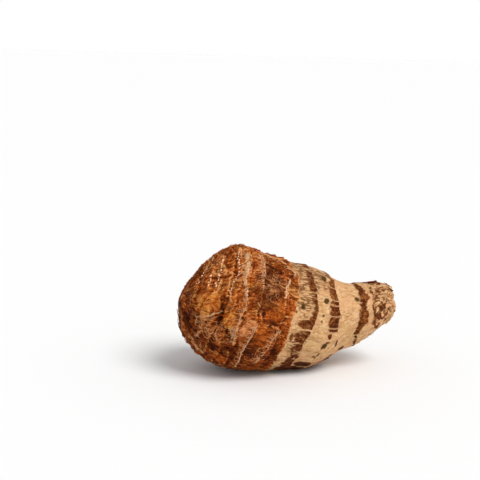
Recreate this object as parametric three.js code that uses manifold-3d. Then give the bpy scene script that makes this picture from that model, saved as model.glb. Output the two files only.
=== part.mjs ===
// Taro cormel lying on its side: one solid that grew as one piece. Millimetres, +Z up.
// +X runs from the fat shoot end to the narrow end that was joined to the mother corm.
// Angles round the axis start at the top and turn toward -Y.
import * as THREE from 'three';
import { mergeVertices } from 'three/addons/utils/BufferGeometryUtils.js';
import Module from 'manifold-3d';

// Driving sizes
const AXIS_DIP = THREE.MathUtils.degToRad(6.2); // the axis dips toward the narrow end
const AXIS_START = new THREE.Vector3(-49.4, 0, 32.85);
const COLUMNS = 72; // lattice columns round the axis

// Outline in the upright plane through the axis: [distance along the axis, height above, depth below]
const OUTLINE = [
  [0, -1.9, 1.9],
  [1.2, 2.6, 6.8],
  [5.6, 9.0, 17.0],
  [13.3, 17.5, 24.6],
  [24.5, 24.6, 29.1],
  [36.8, 22.8, 29.2],
  [49.1, 19.7, 28.3],
  [61.3, 17.7, 27.1],
  [73.6, 13.2, 19.4],
  [84.8, 12.7, 13.8],
  [93.5, 13.7, 6.7],
  [98.3, 11.9, 3.4],
  [100.1, 4.8, -4.8],
];

// Leaf-scar rings, from the shoot end. at: mean distance along the axis; top: how far the ring
// leans toward the narrow end at the top; side: the same on the -Y side; lip: height of the husk
// edge; rows: lattice rows between the ring before and this one; bump: [angle, reach, width] of a
// corner in the husk edge, angle and width in degrees.
const RINGS = [
  { at: 4.6, top: 2.2, side: -1.6, lip: 0.3, rows: 2 },
  { at: 8.5, top: 4.2, side: -3.4, lip: 0.5, rows: 2 },
  { at: 12.2, top: 4.6, side: -3.7, lip: 0.35, rows: 2 },
  { at: 16.1, top: 4.6, side: -3.8, lip: 0.55, rows: 2 },
  { at: 20.0, top: 4.0, side: -3.7, lip: 0.35, rows: 2 },
  { at: 24.0, top: 3.3, side: -3.6, lip: 0.7, rows: 2 },
  { at: 28.8, top: 4.8, side: -2.5, lip: 0.5, rows: 2 },
  { at: 36.0, top: 4.5, side: 2.6, lip: 0.5, rows: 3 },
  { at: 42.4, top: 3.0, side: 0, lip: 0.8, rows: 2, bump: [50, 2.4, 32] },
  { at: 52.6, top: 3.4, side: 0.3, lip: 0.45, rows: 3, bump: [66, 2.2, 18] },
  { at: 67.6, top: -1.1, side: 0, lip: 0.45, rows: 5 },
  { at: 79.6, top: 1.5, side: 0.3, lip: -0.3, rows: 3 },
  { at: 85.0, top: 0.8, side: 0.5, lip: 0.4, rows: 2 },
  { at: 92.5, top: 0.5, side: 0.0, lip: 0.4, rows: 2 },
];
const RING_GAP = 1.4; // least distance between neighbouring rings
const RING_WAVES = [[5, 0.3, 1.9], [9, 0.22, 2.6], [14, 0.16, 4.1]]; // [waves round, reach, phase]
const LIP_DECAY = 3.2; // how far a husk lip runs toward the shoot end
const LIP_DROP = 0.5; // how soon it drops on its other side
const SHOOT_ROWS = [0.12, 0.45, 0.9, 1.5, 2.4]; // lattice rows near the shoot end
const STUB_ROWS = [5.2, 3.4, 1.9, 0.9, 0.4, 0.12]; // the same, back from the narrow end

// Ends: a plug of old leaf bases in a groove, and a dished scar with a raised rim
const SHOOT_SCAR = { plug: 0.3, plugReach: 0.8, groove: 0.35, grooveAt: 1.5, grooveReach: 0.5 };
const STUB_SCAR = { dish: 1.3, dishReach: 0.7, rim: 0.5, rimAt: 1.7, rimReach: 0.8, waves: 7 };

// Domes and pits: [distance along the axis, angle in degrees, height, half length, half width]
const DOMES = [
  [7.9, 69, 1.8, 3.6, 4.8], // lateral bud near the shoot end
  [16.7, 90.5, 1.5, 2.4, 3.2], // second bud beside it
  [12.6, 84, -1.6, 1.3, 4.2], // the crease between the two
  [27, -64, 1.3, 3.4, 4.2], // buds on the side away from the first two
  [14, -128, 1.2, 3.0, 3.6],
  [39, 178, 1.1, 3.0, 3.4],
  [87.3, 76, 0.7, 1.6, 2.6], // curled fold in the end scar
  [90.6, 98, 0.6, 1.4, 2.2],
  [88.8, 40, -0.5, 1.3, 2.4],
  [89.5, -70, 0.6, 1.6, 2.6],
];
const ROOT_SCARS = [
  [49.1, 68], [60.6, 57.5], [78.6, 48.5], [62.0, 110], [61.5, 27],
  [58.4, -34], [49.6, -88], [74.8, -64], [61.2, -121], [77.2, -150], [56.6, 152], [74.4, 140],
];
const ROOT_SCAR = { depth: 0.5, radius: 1.3 };

// Low lumps over the whole corm: [waves round, waves per axis length, height, phase]
const LUMPS = [[2, 3.1, 0.35, 0.6], [3, 5.3, 0.3, 2.2], [5, 7.7, 0.2, 4.0], [9, 3.7, 0.14, 1.1]];
const FOLDS = { round: 23, along: 2.2, height: 0.16 }; // fine folds that run with the husk's fibres

// Husk shreds: fused slivers that point back to the shoot end
const SHREDS = {
  count: 46, length: 5.5, width: 1.6, height: 0.75, sunk: 0.55, lift: 0.7, proud: 0.25, steps: 3,
};
const SHRED_RINGS = [2, 3, 5, 6, 7, 8, 8, 4, 5, 8, 1, 7]; // which ring each shred in turn hangs on
const GOLDEN_ANGLE = Math.PI * (3 - Math.sqrt(5));
// Single shreds: [distance along the axis, angle in degrees, length, width, lift]
const LONE_SHREDS = [
  [4.4, 150, 3.4, 1.6, 1.2], // spike below the shoot end
  [92.5, -12, 9.0, 3.4, 0.8], // flap on the top of the stub
  [97.6, 4, 3.0, 1.2, 0.6], // tufts on the rim of the end scar
  [98.4, 24, 2.6, 1.2, 0.4],
  [98.0, -40, 2.8, 1.2, 1.2],
  [97.2, 128, 2.4, 1.0, 0.8],
];

const AXIS = new THREE.Vector3(Math.cos(AXIS_DIP), 0, -Math.sin(AXIS_DIP));
const ABOVE = new THREE.Vector3(Math.sin(AXIS_DIP), 0, Math.cos(AXIS_DIP));
const FAR_SIDE = new THREE.Vector3(0, 1, 0);
const END = OUTLINE[OUTLINE.length - 1][0];
const DEGREE = Math.PI / 180;

const outline = new THREE.CatmullRomCurve3(
  OUTLINE.map(([along, up, down]) => new THREE.Vector3(along, up, down)),
  false,
  'catmullrom',
  0.5,
);

// Height above and depth below the axis at a distance along it
function outlineAt(along) {
  let low = 0;
  let high = 1;
  for (let step = 0; step < 30; step += 1) {
    const middle = (low + high) / 2;
    if (outline.getPoint(middle).x < along) low = middle;
    else high = middle;
  }
  const { y, z } = outline.getPoint(low);
  return [y, z];
}

// The smooth corm: a stack of circles across the axis, each touching the outline above and below
function smoothPoint(along, angle) {
  const [up, down] = outlineAt(THREE.MathUtils.clamp(along, 0, END));
  const radius = (up + down) / 2;
  const rise = (up - down) / 2 + radius * Math.cos(angle);
  return AXIS_START.clone()
    .addScaledVector(AXIS, along)
    .addScaledVector(ABOVE, rise)
    .addScaledVector(FAR_SIDE, -radius * Math.sin(angle));
}

function outwardAt(along, angle) {
  const reach = 0.15;
  const turn = 0.01;
  const inside = THREE.MathUtils.clamp(along, reach, END - reach);
  const length = smoothPoint(inside + reach, angle).sub(smoothPoint(inside - reach, angle));
  const round = smoothPoint(inside, angle + turn).sub(smoothPoint(inside, angle - turn));
  return round.cross(length).normalize();
}

// Where each ring runs at an angle, in order from the shoot end
function ringsAt(angle) {
  const side = Math.max(0, Math.sin(angle)) ** 2;
  const places = [];
  RINGS.forEach((ring, index) => {
    let place = ring.at + ring.top * Math.cos(angle) + ring.side * side;
    for (const [waves, reach, phase] of RING_WAVES) {
      place += reach * Math.sin(waves * angle + phase * (index + 1));
    }
    if (ring.bump) {
      const [centre, reach, width] = ring.bump;
      place += reach * bell((angle / DEGREE - centre) / width);
    }
    const before = index ? places[index - 1] : SHOOT_ROWS[SHOOT_ROWS.length - 1];
    places.push(Math.max(place, before + RING_GAP));
  });
  return places;
}

// Shortest distance round the corm between two angles, as millimetres on its surface
function roundDistance(along, angle, centreAngle) {
  const turn = Math.atan2(Math.sin(angle - centreAngle), Math.cos(angle - centreAngle));
  const [up, down] = outlineAt(along);
  return turn * (up + down) / 2;
}

function bell(value) {
  return Math.exp(-value * value);
}

// How far the two end scars stand out of the rounded ends
function endRelief(along, angle) {
  const { plug, plugReach, groove, grooveAt, grooveReach } = SHOOT_SCAR;
  const { dish, dishReach, rim, rimAt, rimReach, waves } = STUB_SCAR;
  const back = END - along;
  const torn = 1 + 0.6 * Math.sin(waves * angle + 1) * Math.cos(3 * angle);
  return plug * bell(along / plugReach) - groove * bell((along - grooveAt) / grooveReach)
    + rim * torn * bell((back - rimAt) / rimReach) - dish * bell(back / dishReach);
}

function lipRelief(ring, before) {
  if (before >= 0) return ring.lip * Math.exp(-before / LIP_DECAY);
  return ring.lip * Math.max(0, 1 + before / LIP_DROP);
}

// How far the skin stands out from the smooth corm
function relief(along, angle, places) {
  let height = 0;
  RINGS.forEach((ring, index) => {
    height += lipRelief(ring, places[index] - along);
  });
  for (const [round, waves, reach, phase] of LUMPS) {
    height += reach * Math.sin(round * angle + phase) * Math.cos(waves * Math.PI * along / END + phase);
  }
  height += FOLDS.height * Math.sin(FOLDS.round * angle + FOLDS.along * Math.sin(along / 6));
  for (const [place, degrees, reach, halfLength, halfWidth] of DOMES) {
    const across = roundDistance(along, angle, degrees * DEGREE) / halfWidth;
    height += reach * bell((along - place) / halfLength) * bell(across);
  }
  for (const [place, degrees] of ROOT_SCARS) {
    const across = roundDistance(along, angle, degrees * DEGREE) / ROOT_SCAR.radius;
    height -= ROOT_SCAR.depth * bell((along - place) / ROOT_SCAR.radius) * bell(across);
  }
  const ends = THREE.MathUtils.smoothstep(along, 0, 4) * THREE.MathUtils.smoothstep(END - along, 0, 3);
  return height * ends + endRelief(along, angle);
}

// Skin point: the relief fades out near the resting flat, which is cut at the ground
function skinPoint(along, angle, places) {
  const point = smoothPoint(along, angle);
  const clear = THREE.MathUtils.smoothstep(point.z, 0.4, 3.2);
  point.addScaledVector(outwardAt(along, angle), relief(along, angle, places) * clear);
  point.z = Math.max(point.z, 0);
  return point;
}

// Distances along the axis of the lattice rows at one angle: each ring has a crest and a foot row
function rowsAt(places) {
  const rows = [...SHOOT_ROWS];
  let from = SHOOT_ROWS[SHOOT_ROWS.length - 1];
  RINGS.forEach(({ rows: between }, index) => {
    for (let row = 1; row <= between; row += 1) {
      rows.push(from + (places[index] - from) * row / between);
    }
    from = places[index] + LIP_DROP;
    rows.push(from);
  });
  for (const back of STUB_ROWS) rows.push(END - back);
  return rows;
}

function cormSkin() {
  const positions = [];
  const index = [];
  let rowCount = 0;
  for (let column = 0; column < COLUMNS; column += 1) {
    const angle = column * 2 * Math.PI / COLUMNS;
    const places = ringsAt(angle > Math.PI ? angle - 2 * Math.PI : angle);
    const rows = rowsAt(places);
    rowCount = rows.length;
    for (const along of rows) positions.push(...skinPoint(along, angle, places).toArray());
  }
  const shootPole = positions.length / 3;
  positions.push(...smoothPoint(0, 0).addScaledVector(AXIS, -endRelief(0, 0)).toArray());
  const stubPole = shootPole + 1;
  positions.push(...smoothPoint(END, 0).addScaledVector(AXIS, endRelief(END, 0)).toArray());
  for (let column = 0; column < COLUMNS; column += 1) {
    const here = column * rowCount;
    const next = ((column + 1) % COLUMNS) * rowCount;
    index.push(shootPole, next, here);
    index.push(stubPole, here + rowCount - 1, next + rowCount - 1);
    for (let row = 0; row + 1 < rowCount; row += 1) {
      index.push(here + row, next + row + 1, here + row + 1);
      index.push(here + row, next + row, next + row + 1);
    }
  }
  return { positions, index };
}

// A three-sided sliver whose root is sunk in the skin and whose tip stands off it
function shred(along, angle, length, width, lift) {
  const positions = [];
  const index = [];
  const { height, sunk, proud, steps } = SHREDS;
  for (let step = 0; step <= steps; step += 1) {
    const share = step / steps;
    const place = Math.max(along - length * share, 0.8);
    const outward = outwardAt(place, angle);
    const across = outward.clone().cross(AXIS).normalize();
    const centre = smoothPoint(place, angle).addScaledVector(outward, lift * share * share);
    const slim = 1 - 0.8 * share;
    for (const [side, rise] of [[-0.5, -sunk], [0.5, -sunk], [0, height]]) {
      const corner = centre.clone().addScaledVector(across, side * width * slim);
      positions.push(...corner.addScaledVector(outward, rise * slim + proud).toArray());
    }
  }
  for (let step = 0; step < steps; step += 1) {
    for (let side = 0; side < 3; side += 1) {
      const a = step * 3 + side;
      const b = step * 3 + (side + 1) % 3;
      index.push(a, b + 3, b, a, a + 3, b + 3);
    }
  }
  const last = steps * 3;
  index.push(0, 1, 2, last, last + 2, last + 1);
  return { positions, index };
}

function shreds() {
  const made = [];
  for (let count = 0; count < SHREDS.count; count += 1) {
    const angle = ((count * GOLDEN_ANGLE + 0.4) % (2 * Math.PI)) - Math.PI;
    const along = ringsAt(angle)[SHRED_RINGS[count % SHRED_RINGS.length]] - 0.3;
    if (smoothPoint(along, angle).z < 6) continue;
    const vary = Math.sin(count * 2.4);
    const length = SHREDS.length * (1 + 0.35 * vary);
    made.push(shred(along, angle, length, SHREDS.width * (1 - 0.2 * vary), SHREDS.lift));
  }
  for (const [along, degrees, length, width, lift] of LONE_SHREDS) {
    made.push(shred(along, degrees * DEGREE, length, width, lift));
  }
  return made;
}

const wasm = await Module();
wasm.setup();

function toSolid({ positions, index }) {
  const geometry = new THREE.BufferGeometry();
  geometry.setAttribute('position', new THREE.Float32BufferAttribute(positions, 3));
  geometry.setIndex(index);
  const merged = mergeVertices(geometry, 1e-4);
  const solid = new wasm.Manifold(new wasm.Mesh({
    numProp: 3,
    vertProperties: new Float32Array(merged.getAttribute('position').array),
    triVerts: new Uint32Array(merged.getIndex().array),
  }));
  if (solid.volume() < 0) throw new Error('a solid is inside out');
  return solid;
}

function toGeometry(solid) {
  const { vertProperties, triVerts } = solid.getMesh();
  const geometry = new THREE.BufferGeometry();
  geometry.setAttribute('position', new THREE.BufferAttribute(vertProperties, 3));
  geometry.setIndex(new THREE.BufferAttribute(triVerts, 1));
  geometry.computeVertexNormals();
  return geometry;
}

const husk = new THREE.MeshStandardMaterial({ color: 0x8a4a22, roughness: 0.8, metalness: 0 });

function makeCorm() {
  let solid = toSolid(cormSkin());
  for (const sliver of shreds()) solid = solid.add(toSolid(sliver));
  const mesh = new THREE.Mesh(toGeometry(solid), husk);
  mesh.name = 'corm';
  return mesh;
}

const taroRoot = new THREE.Group();
taroRoot.add(makeCorm());

export default taroRoot;
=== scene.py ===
# Dresses the taro corm: a fine skin with husk, rings and scars, torn husk shreds, fibres and hairs.
import itertools
import math

import bpy
import numpy as np
from mathutils import Matrix, Vector


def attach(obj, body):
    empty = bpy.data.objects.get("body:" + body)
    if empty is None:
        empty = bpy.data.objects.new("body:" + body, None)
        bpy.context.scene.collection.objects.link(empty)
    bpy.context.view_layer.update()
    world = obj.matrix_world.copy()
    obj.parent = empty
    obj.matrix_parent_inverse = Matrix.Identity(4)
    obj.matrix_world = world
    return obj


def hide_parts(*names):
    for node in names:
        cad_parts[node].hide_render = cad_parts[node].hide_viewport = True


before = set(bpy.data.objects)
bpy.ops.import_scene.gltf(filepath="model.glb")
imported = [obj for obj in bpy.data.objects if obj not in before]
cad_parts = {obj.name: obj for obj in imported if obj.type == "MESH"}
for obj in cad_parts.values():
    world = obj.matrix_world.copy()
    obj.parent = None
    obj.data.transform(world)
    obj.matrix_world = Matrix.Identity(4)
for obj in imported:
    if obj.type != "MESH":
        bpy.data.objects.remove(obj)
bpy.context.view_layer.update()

MM = 0.001

# The corm's smooth form, in millimetres, as in the part's source
AXIS_DIP = math.radians(6.2)  # the axis dips toward the narrow end
AXIS_START = np.array([-49.4, 0.0, 32.85])
AXIS = np.array([math.cos(AXIS_DIP), 0.0, -math.sin(AXIS_DIP)])
ABOVE = np.array([math.sin(AXIS_DIP), 0.0, math.cos(AXIS_DIP)])
FAR_SIDE = np.array([0.0, 1.0, 0.0])

# Distance along the axis, height above it, depth below it
OUTLINE = np.array([
    [0, -1.9, 1.9],
    [1.2, 2.6, 6.8],
    [5.6, 9.0, 17.0],
    [13.3, 17.5, 24.6],
    [24.5, 24.6, 29.1],
    [36.8, 22.8, 29.2],
    [49.1, 19.7, 28.3],
    [61.3, 17.7, 27.1],
    [73.6, 13.2, 19.4],
    [84.8, 12.7, 13.8],
    [93.5, 13.7, 6.7],
    [98.3, 11.9, 3.4],
    [100.1, 4.8, -4.8],
])
END = OUTLINE[-1, 0]

# Leaf-scar rings: mean place, lean at the top, lean at the -Y side, height of the husk edge,
# and any corner in the edge as its angle in degrees, its reach and its width in degrees
RINGS = [
    (4.6, 2.2, -1.6, 0.3),
    (8.5, 4.2, -3.4, 0.5),
    (12.2, 4.6, -3.7, 0.35),
    (16.1, 4.6, -3.8, 0.55),
    (20, 4, -3.7, 0.35),
    (24, 3.3, -3.6, 0.7),
    (28.8, 4.8, -2.5, 0.5),
    (36, 4.5, 2.6, 0.5),
    (42.4, 3, 0, 0.8, (50, 2.4, 32)),
    (52.6, 3.4, 0.3, 0.45, (66, 2.2, 18)),
    (67.6, -1.1, 0, 0.45),
    (79.6, 1.5, 0.3, -0.3),
    (85, 0.8, 0.5, 0.4),
    (92.5, 0.5, 0, 0.4),
]
HUSK_EDGE, BAND_B, BAND_C = 8, 9, 10  # numbers of the rings that end the husk and these bands
RING_GAP = 1.4
FIRST_RING_FROM = 2.4
RING_WAVES = [(5, 0.3, 1.9), (9, 0.22, 2.6), (14, 0.16, 4.1)]
LIP_DECAY = 3.2
LIP_DROP = 0.5

# Domes and pits: place along the axis, angle in degrees, half length, half width, height
DOMES = [
    (7.9, 69, 3.6, 4.8, 1.8), (16.7, 90.5, 2.4, 3.2, 1.5), (12.6, 84, 1.3, 4.2, -1.6),
    (27, -64, 3.4, 4.2, 1.3), (14, -128, 3, 3.6, 1.2), (39, 178, 3, 3.4, 1.1),
    (87.3, 76, 1.6, 2.6, 0.7), (90.6, 98, 1.4, 2.2, 0.6), (88.8, 40, 1.3, 2.4, -0.5),
    (89.5, -70, 1.6, 2.6, 0.6),
]
ROOT_SCARS = [
    (49.1, 68), (60.6, 57.5), (78.6, 48.5), (62, 110), (61.5, 27), (58.4, -34), (49.6, -88), (74.8, -64),
    (61.2, -121), (77.2, -150), (56.6, 152), (74.4, 140),
]
ROOT_SCAR_DEPTH, ROOT_SCAR_RADIUS = 0.5, 1.3
LUMPS = [(2, 3.1, 0.35, 0.6), (3, 5.3, 0.3, 2.2), (5, 7.7, 0.2, 4.0), (9, 3.7, 0.14, 1.1)]
FOLDS_ROUND, FOLDS_ALONG, FOLDS_HEIGHT = 23, 2.2, 0.16
SHOOT_PLUG, SHOOT_PLUG_REACH = 0.3, 0.8
SHOOT_GROOVE, SHOOT_GROOVE_AT, SHOOT_GROOVE_REACH = 0.35, 1.5, 0.5
STUB_DISH, STUB_DISH_REACH = 1.3, 0.7
STUB_RIM, STUB_RIM_AT, STUB_RIM_REACH, STUB_WAVES = 0.5, 1.7, 0.8, 7
TORN_HUSK, TORN_SKIN = 0.7, 0.25
TIP_RING_STEP = 2.2  # between the fine rings round the shoot tip

# Fine mesh of the skin
COLUMNS = 288
ROW_STEP = 0.42
POLE_GAP = 0.004  # between the first or last row and the pole

# Picture frame
FRAME_PIXELS = 480
LENS_MM, SENSOR_MM = 85, 36
FOCAL_PIXELS = LENS_MM / SENSOR_MM * FRAME_PIXELS
MM_PER_PIXEL = 0.435  # at the corm's middle
VIEW_AZIMUTH, VIEW_ELEVATION, VIEW_ROLL = math.radians(-17), math.radians(9.5), math.radians(1.6)
AXIS_START_PIXEL = (179.48, 298.55)  # where the photograph shows the start of the axis

# Studio
KEY_STRENGTH, KEY_WIDTH, KEY_FROM = 2.2, math.radians(35), (0.35, -0.5, 0.85)
HORIZON_STRENGTH, SKY_STRENGTH = 1.0, 0.6
HORIZON_TOP, SKY_FOOT = 0.08, 0.25  # heights between which the world dims
FLOOR_REACH, FLOOR_COLOUR, FLOOR_ROUGHNESS, FLOOR_SPECULAR = 30.0, (0.85, 0.85, 0.85, 1), 0.8, 0.1


def bell(value):
    return np.exp(-value * value)


def step(value, low, high):
    share = np.clip((value - low) / (high - low), 0, 1)
    return share * share * (3 - 2 * share)


# Noise

AXIS_HASHES, SEED_HASH = (73856093, 19349663, 83492791), 40503


def lattice_noise(points, seed):
    """Smooth noise from -1 to 1 at points of shape (..., 3), out of hashed lattice values."""
    cell = np.floor(points).astype(np.int64)
    part = points - cell
    ease = part * part * (3 - 2 * part)
    total = np.zeros(points.shape[:-1])
    for corner in itertools.product((0, 1), repeat=3):
        at = cell + np.array(corner)
        key = seed * SEED_HASH
        for axis, factor in enumerate(AXIS_HASHES):
            key = key ^ (at[..., axis] * factor)
        key = (key & 0x7FFFFFFF) * 1103515245 + 12345 & 0x7FFFFFFF
        key = ((key >> 7) ^ key) * 69069 & 0x7FFFFFFF
        value = ((key >> 9) & 0xFFFF) / 32767.5 - 1
        weight = np.prod(np.where(np.array(corner) == 1, ease, 1 - ease), axis=-1)
        total += value * weight
    return total


def layered_noise(points, seed, layers=3, gain=0.5):
    total = np.zeros(points.shape[:-1])
    reach, whole = 1.0, 0.0
    for layer in range(layers):
        total += reach * lattice_noise(points * 2.03**layer, seed + 17 * layer)
        whole += reach
        reach *= gain
    return total / whole


def grain_noises(grain, listed):
    """Noises listed as feature lengths in millimetres, seed and layers."""
    return [layered_noise(grain / size, seed, layers) for size, seed, layers in listed]


def ridged_noise(points, size, seed):
    """Noise with narrow crests, from -1 to 1."""
    return 1 - 2 * np.abs(layered_noise(points / size, seed, 2))


def round_points(radius, angle, third):
    """Points on a circle, so that noise taken at them closes on itself round the corm."""
    return np.stack([radius * np.cos(angle), radius * np.sin(angle), np.full_like(angle, third)], axis=-1)


# The smooth corm


def outline_table(samples=2400):
    """The outline as a smooth curve through its points."""
    ends = np.vstack([2 * OUTLINE[0] - OUTLINE[1], OUTLINE, 2 * OUTLINE[-1] - OUTLINE[-2]])
    t = np.linspace(0, len(OUTLINE) - 1, samples)
    i = np.minimum(t.astype(int), len(OUTLINE) - 2)
    f = (t - i)[:, None]
    before, here, there, after = ends[i], ends[i + 1], ends[i + 2], ends[i + 3]
    leave, arrive = (there - before) / 2, (after - here) / 2
    return (
        (2 * f**3 - 3 * f**2 + 1) * here
        + (f**3 - 2 * f**2 + f) * leave
        + (3 * f**2 - 2 * f**3) * there
        + (f**3 - f**2) * arrive
    )


TABLE = outline_table()
TABLE_RADIUS = (TABLE[:, 1] + TABLE[:, 2]) / 2
TABLE_ARC = np.concatenate([[0], np.cumsum(np.hypot(np.diff(TABLE[:, 0]), np.diff(TABLE_RADIUS)))])


def radius_at(along):
    return np.interp(along, TABLE[:, 0], TABLE_RADIUS)


def smooth_points(along, angle):
    up = np.interp(along, TABLE[:, 0], TABLE[:, 1])
    down = np.interp(along, TABLE[:, 0], TABLE[:, 2])
    radius = (up + down) / 2
    rise = (up - down) / 2 + radius * np.cos(angle)
    return (
        AXIS_START
        + along[..., None] * AXIS
        + rise[..., None] * ABOVE
        - (radius * np.sin(angle))[..., None] * FAR_SIDE
    )


def outward_at(along, angle, reach=0.15, turn=0.01):
    inside = np.clip(along, reach, END - reach)
    length = smooth_points(inside + reach, angle) - smooth_points(inside - reach, angle)
    round_ = smooth_points(inside, angle + turn) - smooth_points(inside, angle - turn)
    outward = np.cross(round_, length)
    return outward / np.linalg.norm(outward, axis=-1, keepdims=True)


def rings_at(angle):
    """Where each ring runs at each angle: shape (rings, ...)."""
    side = np.maximum(0, np.sin(angle)) ** 2
    places = []
    for number, (at, top, lean, _lip, *corners) in enumerate(RINGS):
        place = at + top * np.cos(angle) + lean * side
        for waves, reach, phase in RING_WAVES:
            place = place + reach * np.sin(waves * angle + phase * (number + 1))
        for corner, reach, width in corners:
            place = place + reach * bell((np.degrees(angle) - corner) / width)
        before = places[-1] if places else np.full_like(angle, FIRST_RING_FROM)
        places.append(np.maximum(place, before + RING_GAP))
    return np.array(places)


def torn_rings_at(angle):
    """The rings with the fine ragged edge of dry husk."""
    places = rings_at(angle)
    torn = []
    for number, place in enumerate(places):
        reach = TORN_HUSK if number <= HUSK_EDGE else TORN_SKIN
        round_ = round_points(8, angle, 3.7 * number)
        coarse, fine = layered_noise(round_ * 0.9, 101, 2), layered_noise(round_ * 2.9, 103, 2)
        place = place + reach * (coarse + 0.6 * fine)
        before = torn[-1] if torn else np.full_like(angle, FIRST_RING_FROM - RING_GAP)
        torn.append(np.maximum(place, before + 0.75 * RING_GAP))
    return np.array(torn)


def lip_strength(angle, number):
    """How far the husk edge of a ring stands out, as a share of its mean."""
    return 1 + 0.9 * layered_noise(round_points(9, angle, 5.3 * number) * 0.8, 107, 3)


def round_distance(along, angle, degrees):
    """Distance in millimetres round the corm from an angle in degrees."""
    turn = angle - np.radians(degrees)
    return np.arctan2(np.sin(turn), np.cos(turn)) * radius_at(along)


def spot(along, angle, place, degrees, half_length, half_width):
    return bell((along - place) / half_length) * bell(round_distance(along, angle, degrees) / half_width)


def main_relief(along, angle, places):
    """The relief that the solid has too."""
    height = np.zeros_like(along)
    for number, ((_at, _top, _lean, lip, *_corners), place) in enumerate(zip(RINGS, places)):
        before = place - along
        height += lip_strength(angle, number) * np.where(
            before >= 0,
            lip * np.exp(-np.maximum(before, 0) / LIP_DECAY),
            lip * np.maximum(0, 1 + np.minimum(before, 0) / LIP_DROP),
        )
    for waves, length_waves, reach, phase in LUMPS:
        lengthwise = np.cos(length_waves * math.pi * along / END + phase)
        height += reach * np.sin(waves * angle + phase) * lengthwise
    height += FOLDS_HEIGHT * np.sin(FOLDS_ROUND * angle + FOLDS_ALONG * np.sin(along / 6))
    for *where, reach in DOMES:
        height += reach * spot(along, angle, *where)
    for place, degrees in ROOT_SCARS:
        height -= ROOT_SCAR_DEPTH * spot(along, angle, place, degrees, ROOT_SCAR_RADIUS, ROOT_SCAR_RADIUS)
    return height * step(along, 0, 4) * step(END - along, 0, 3)


def end_relief(along, angle):
    back = END - along
    torn = 1 + 0.6 * np.sin(STUB_WAVES * angle + 1) * np.cos(3 * angle)
    return (
        SHOOT_PLUG * bell(along / SHOOT_PLUG_REACH)
        - SHOOT_GROOVE * bell((along - SHOOT_GROOVE_AT) / SHOOT_GROOVE_REACH)
        + STUB_RIM * torn * bell((back - STUB_RIM_AT) / STUB_RIM_REACH)
        - STUB_DISH * bell(back / STUB_DISH_REACH)
    )


# Where the husk, the bands and the other marks lie


def skin_lattice():
    """Rows that follow the rings: distances along the axis, shape (rows, columns), and the angles."""
    angle = np.arange(COLUMNS) * 2 * math.pi / COLUMNS
    angle = np.where(angle > math.pi, angle - 2 * math.pi, angle)
    places = torn_rings_at(angle)
    stops = [np.full(COLUMNS, POLE_GAP)]
    for place in places:
        stops += [place, place + LIP_DROP]
    stops.append(np.full(COLUMNS, END - POLE_GAP))
    arcs = [np.interp(stop, TABLE[:, 0], TABLE_ARC) for stop in stops]
    rows = [arcs[0][None]]
    for start, stop in zip(arcs, arcs[1:]):
        count = max(1, round(float(np.mean(stop - start)) / ROW_STEP))
        share = np.arange(1, count + 1)[:, None] / count
        rows.append(start + (stop - start) * share)
    arc = np.concatenate(rows)
    along = np.interp(arc, TABLE_ARC, TABLE[:, 0])
    return along, np.broadcast_to(angle, along.shape).copy(), places


# Patches are listed as place along the axis, angle in degrees, half length, half width, strength.
# Lines are listed as half width, strength and points of (place along the axis, angle in degrees).
HUSK_PATCHES = [
    (53.4, 139, 3.6, 2.4, 1), (57, 140, 3.4, 2.6, 1), (48, 145, 3.6, 2.6, 1), (52, 152, 6, 4, 1),
    (63.4, 99, 1.6, 1.5, 1), (62.6, 105, 1.5, 1.2, 1), (60.8, 111, 1.6, 1.2, 1), (58.8, 124, 2, 1.2, 0.8),
    (58, 176, 6, 6, 1), (62, -158, 4, 5, 1), (56, -70, 3, 4, 1), (44.8, 100, 1.4, 2.6, 0.9),
    (72, -100, 2.6, 3, 1), (47, -120, 3.4, 4, 1), (91.6, -14, 4.6, 3, 0.9), (89.6, 34, 1.8, 1.6, 0.8),
    (93, 35, 1.4, 1.4, 0.8), (95, 86, 1.6, 1.8, 0.7), (86.6, 34, 1.6, 1.8, 0.7), (92.4, 8, 2, 1.8, 0.8),
    (91.8, 101, 1.2, 1.6, 0.7), (92.6, 74, 1, 1.6, 0.7), (87.2, 18, 1.6, 2, 0.7), (90, -60, 2.4, 3.4, 0.8),
    (92, -110, 2, 3, 0.8), (88, 160, 2.4, 3.4, 0.8),
]
HUSK_LINES = [
    (0.8, 1, [(68.6, 108), (68.8, 121)]),
    (0.7, 0.9, [(60.6, 118), (59.4, 128)]),
    (0.55, 1, [(85.9, 64), (86.4, 78), (87.5, 92), (88.2, 109)]),
    (0.4, 0.9, [(86.1, 71), (86.8, 62), (89.1, 59), (91.2, 66), (92.3, 80), (91.9, 96)]),
    (0.4, 0.9, [(89, 82), (89.6, 74), (90.4, 82), (90.2, 96)]),
    (0.35, 0.8, [(94.2, 60), (95.2, 74), (94.8, 92), (93.6, 104)]),
    (0.35, 0.8, [(86.6, 40), (88.6, 46), (92, 48), (95, 44)]),
    (0.4, 0.8, [(88.8, 22), (91.4, 26), (94.2, 24)]),
]
# Widths of the brown bands that end at a ring, as (angle in degrees, width)
BAND_WIDTHS = {
    BAND_B: [
        (-180, 7.5), (-140, 4.5), (-90, 3), (-40, 3.5), (0, 4.4), (36, 2.8), (46, 4.2), (55, 3.2),
        (70, 2.2), (79.5, 3), (82.5, 7.6), (87, 7.2), (90, 5), (91.3, -1), (92.6, 5.5), (99, 7), (108, 4.2),
        (118, 4.8), (129, 5.2), (145, 7.5),
    ],
    BAND_C: [
        (-180, 3), (-120, 4.5), (-60, 3), (0, 2.6), (20, 2.8), (40, 3.6), (57, 4.6), (68, 5.2), (81, 5.8),
        (92, 5.6), (96, -1), (108, -1), (126, -1), (140, 3),
    ],
}
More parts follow.
